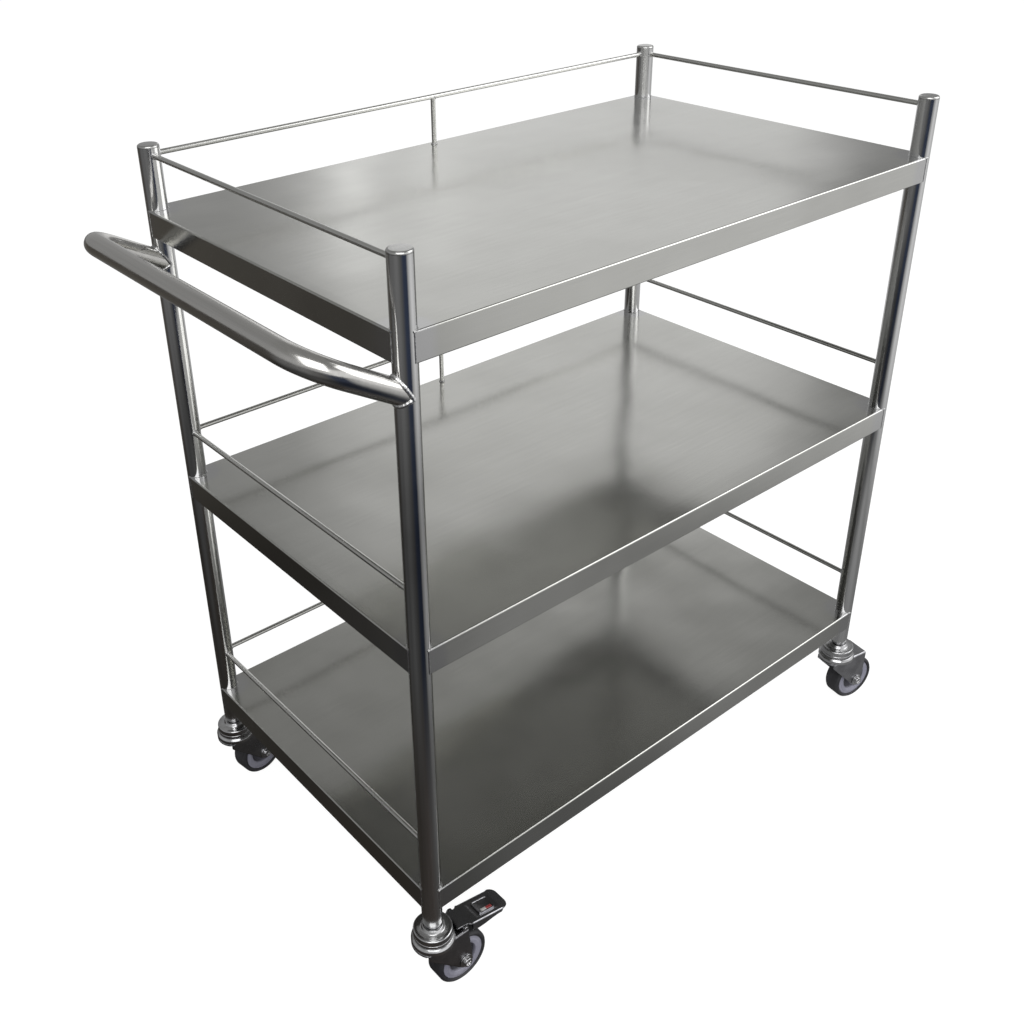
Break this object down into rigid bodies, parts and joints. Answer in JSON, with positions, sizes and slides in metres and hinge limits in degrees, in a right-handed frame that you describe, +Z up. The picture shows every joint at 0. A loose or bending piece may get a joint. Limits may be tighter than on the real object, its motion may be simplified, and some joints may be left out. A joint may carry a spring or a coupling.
{
  "type": "instrument cart",
  "caption": "Stainless steel instrument cart with folded-edge shelves, rod guard rails on the ends and one long side, a tubular push handle and swivel castors with foot brakes.",
  "frame": {"origin": "on the floor under the middle of the rectangle of the four posts", "axes": "+X along the cart, from the push handle's end to the far end; +Y across it, from the open long side to the railed one; +Z up"},
  "size_m": [1.0493, 0.5405, 0.98],
  "materials": {
    "satin_steel": "satin, fine short grain, soft reflections",
    "polished_tube": "polished, slightly hazy along the tube",
    "polished_rod": "polished rod",
    "chrome_plate": "bright plated pressing",
    "tyre_rubber": "matt dark grey tread",
    "wheel_plastic": "pale lilac-grey moulding, low sheen",
    "brake_rubber": "matt black"
  },
  "bodies": {
    "frame": {"post_front_left": "polished_tube", "post_cap_front_left": "polished_tube", "castor_socket_front_left": "chrome_plate", "castor_stem_front_left": "chrome_plate", "castor_upper_race_front_left": "chrome_plate", "post_back_left": "polished_tube", "post_cap_back_left": "polished_tube", "castor_socket_back_left": "chrome_plate", "castor_stem_back_left": "chrome_plate", "castor_upper_race_back_left": "chrome_plate", "post_back_right": "polished_tube", "post_cap_back_right": "polished_tube", "castor_socket_back_right": "chrome_plate", "castor_stem_back_right": "chrome_plate", "castor_upper_race_back_right": "chrome_plate", "post_front_right": "polished_tube", "post_cap_front_right": "polished_tube", "castor_socket_front_right": "chrome_plate", "castor_stem_front_right": "chrome_plate", "castor_upper_race_front_right": "chrome_plate", "shelf_top": "satin_steel", "rail_top_left": "polished_rod", "rail_top_back": "polished_rod", "rail_top_right": "polished_rod", "rail_upright_top": "polished_rod", "shelf_middle": "satin_steel", "rail_middle_left": "polished_rod", "rail_middle_back": "polished_rod", "rail_middle_right": "polished_rod", "rail_upright_middle": "polished_rod", "shelf_bottom": "satin_steel", "rail_bottom_left": "polished_rod", "rail_bottom_back": "polished_rod", "rail_bottom_right": "polished_rod", "rail_upright_bottom": "polished_rod", "push_handle": "polished_tube"},
    "swivel_front_left": {"castor_lower_race_front_left": "chrome_plate", "castor_fork_front_left": "chrome_plate", "castor_axle_front_left": "chrome_plate"},
    "wheel_front_left": {"castor_wheel_front_left": "wheel_plastic", "castor_tyre_front_left": "tyre_rubber"},
    "pedal_front_left": {"brake_pedal_front_left": "chrome_plate", "brake_shoe_front_left": "brake_rubber"},
    "swivel_back_left": {"castor_lower_race_back_left": "chrome_plate", "castor_fork_back_left": "chrome_plate", "castor_axle_back_left": "chrome_plate"},
    "wheel_back_left": {"castor_wheel_back_left": "wheel_plastic", "castor_tyre_back_left": "tyre_rubber"},
    "swivel_back_right": {"castor_lower_race_back_right": "chrome_plate", "castor_fork_back_right": "chrome_plate", "castor_axle_back_right": "chrome_plate"},
    "wheel_back_right": {"castor_wheel_back_right": "wheel_plastic", "castor_tyre_back_right": "tyre_rubber"},
    "pedal_back_right": {"brake_pedal_back_right": "chrome_plate", "brake_shoe_back_right": "brake_rubber"},
    "swivel_front_right": {"castor_lower_race_front_right": "chrome_plate", "castor_fork_front_right": "chrome_plate", "castor_axle_front_right": "chrome_plate"},
    "wheel_front_right": {"castor_wheel_front_right": "wheel_plastic", "castor_tyre_front_right": "tyre_rubber"}
  },
  "joints": [
    {"name": "castor_swivel_front_left", "type": "hinge", "parent": "frame", "child": "swivel_front_left", "pos_m": [-0.415, -0.24, 0.092], "axis": [0, 0, 1], "continuous": true},
    {"name": "wheel_spin_front_left", "type": "hinge", "parent": "swivel_front_left", "child": "wheel_front_left", "pos_m": [-0.379, -0.24, 0.0375], "axis": [0, 1, 0], "continuous": true},
    {"name": "brake_press_front_left", "type": "hinge", "parent": "swivel_front_left", "child": "pedal_front_left", "pos_m": [-0.377, -0.24, 0.0935], "axis": [0, 1, 0], "range_deg": [0, 7]},
    {"name": "castor_swivel_back_left", "type": "hinge", "parent": "frame", "child": "swivel_back_left", "pos_m": [-0.415, 0.24, 0.092], "axis": [0, 0, 1], "continuous": true},
    {"name": "wheel_spin_back_left", "type": "hinge", "parent": "swivel_back_left", "child": "wheel_back_left", "pos_m": [-0.37935, 0.24501, 0.0375], "axis": [-0.1392, 0.9903, 0], "continuous": true},
    {"name": "castor_swivel_back_right", "type": "hinge", "parent": "frame", "child": "swivel_back_right", "pos_m": [0.415, 0.24, 0.092], "axis": [0, 0, 1], "continuous": true},
    {"name": "wheel_spin_back_right", "type": "hinge", "parent": "swivel_back_right", "child": "wheel_back_right", "pos_m": [0.45021, 0.23251, 0.0375], "axis": [0.2079, 0.9781, 0], "continuous": true},
    {"name": "brake_press_back_right", "type": "hinge", "parent": "swivel_back_right", "child": "pedal_back_right", "pos_m": [0.45217, 0.2321, 0.0935], "axis": [0.2079, 0.9781, 0], "range_deg": [0, 7]},
    {"name": "castor_swivel_front_right", "type": "hinge", "parent": "frame", "child": "swivel_front_right", "pos_m": [0.415, -0.24, 0.092], "axis": [0, 0, 1], "continuous": true},
    {"name": "wheel_spin_front_right", "type": "hinge", "parent": "swivel_front_right", "child": "wheel_front_right", "pos_m": [0.45045, -0.24625, 0.0375], "axis": [0.1736, 0.9848, 0], "continuous": true}
  ]
}
